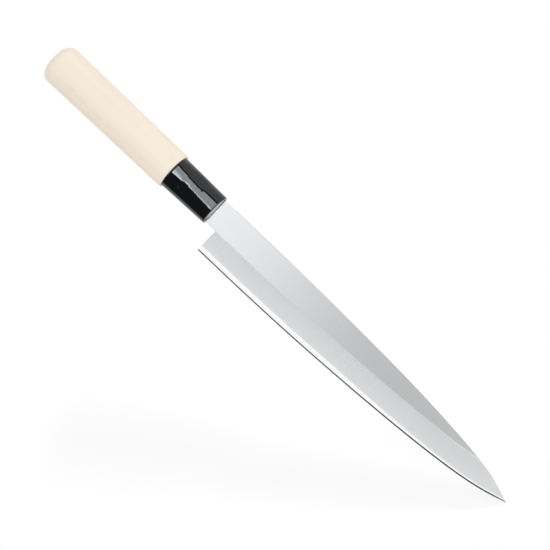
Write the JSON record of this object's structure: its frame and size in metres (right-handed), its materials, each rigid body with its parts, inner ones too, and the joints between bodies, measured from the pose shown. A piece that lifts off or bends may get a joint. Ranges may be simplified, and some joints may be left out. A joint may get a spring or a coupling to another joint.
{
  "type": "yanagiba knife",
  "caption": "Long narrow single-bevel slicing knife with a hollow-ground flat back, an oval pale wooden handle and a glossy black ferrule.",
  "frame": {"origin": "on the blade's flat back, on the handle's axis, in line with the heel of the cutting edge", "axes": "+X along the handle's axis from the butt to the tip, +Y from the cutting edge to the spine, +Z from the flat back to the bevelled face"},
  "size_m": [0.3393, 0.0335, 0.021],
  "materials": {
    "steel": "fine satin, with a polished strip beside the cutting edge",
    "wood": "bare, finely sanded pale wood with a straight grain",
    "ferrule": "glossy black, slightly wavy",
    "resin": "cured black resin"
  },
  "bodies": {
    "root": {"blade": "steel", "handle": "wood", "ferrule": "ferrule", "tang_bedding": "resin"}
  },
  "joints": []
}
